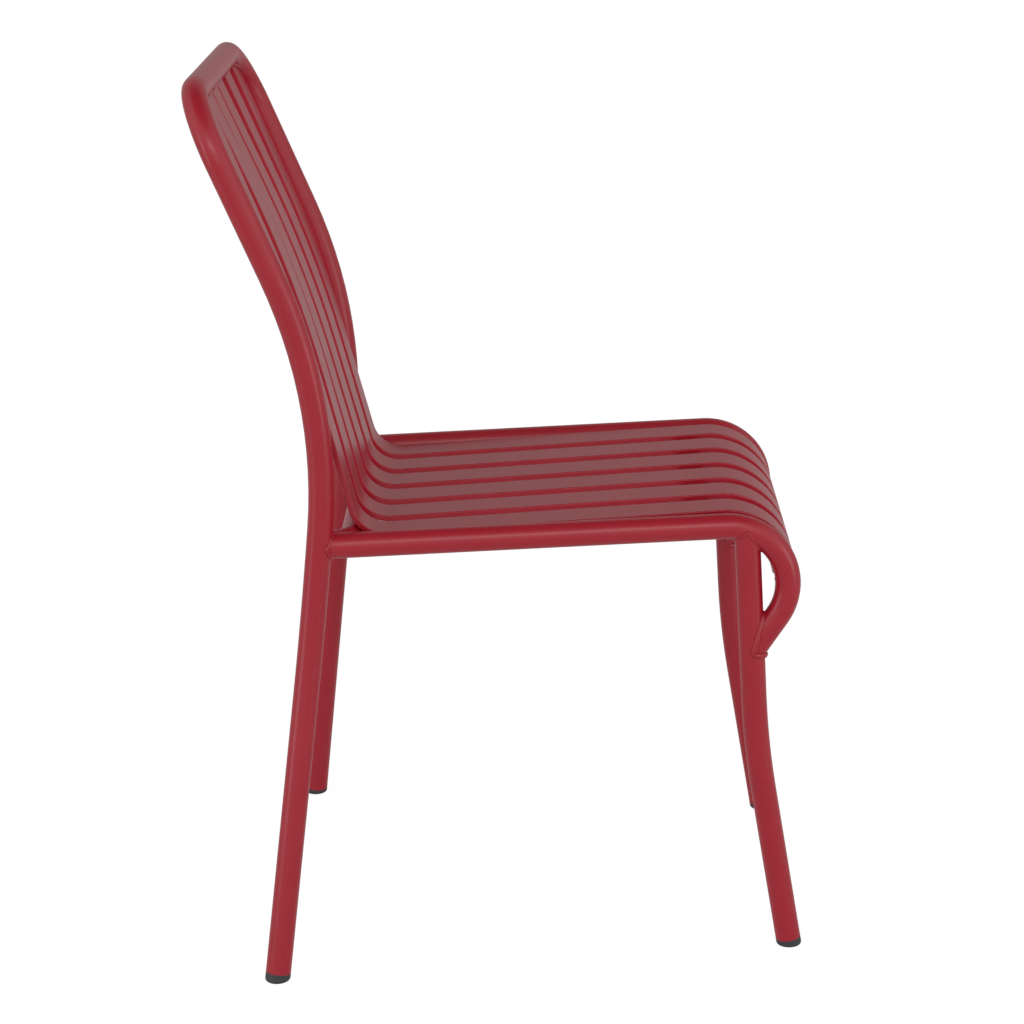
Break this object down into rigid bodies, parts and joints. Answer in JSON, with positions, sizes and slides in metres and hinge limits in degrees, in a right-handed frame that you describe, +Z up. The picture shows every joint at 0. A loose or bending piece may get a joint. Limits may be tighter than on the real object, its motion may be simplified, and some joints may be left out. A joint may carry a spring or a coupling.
{
  "type": "stackable slatted metal bistro chair",
  "caption": "Stackable outdoor side chair with a bent round-tube frame, one-piece flat metal slats that form seat and backrest, and black foot plugs.",
  "frame": {"origin": "on the floor, under the middle of the chair's footprint box", "axes": "+Z up, the seat opens towards -Y, +X is the left-hand side of a person sitting on the chair"},
  "size_m": [0.5242, 0.5881, 0.88],
  "materials": {
    "frame_paint": "satin red polyester powder coat on aluminium",
    "plug_plastic": "matte black polyethylene"
  },
  "bodies": {
    "root": {"hoop_tube": "frame_paint", "seat_rail_left": "frame_paint", "seat_rail_right": "frame_paint", "front_leg_left": "frame_paint", "front_leg_right": "frame_paint", "rear_cross_tube": "frame_paint", "front_cross_bar": "frame_paint", "slat_1": "frame_paint", "slat_2": "frame_paint", "slat_3": "frame_paint", "slat_4": "frame_paint", "slat_5": "frame_paint", "slat_6": "frame_paint", "foot_plug_rear_left": "plug_plastic", "foot_plug_rear_right": "plug_plastic", "foot_plug_front_left": "plug_plastic", "foot_plug_front_right": "plug_plastic"}
  },
  "joints": []
}
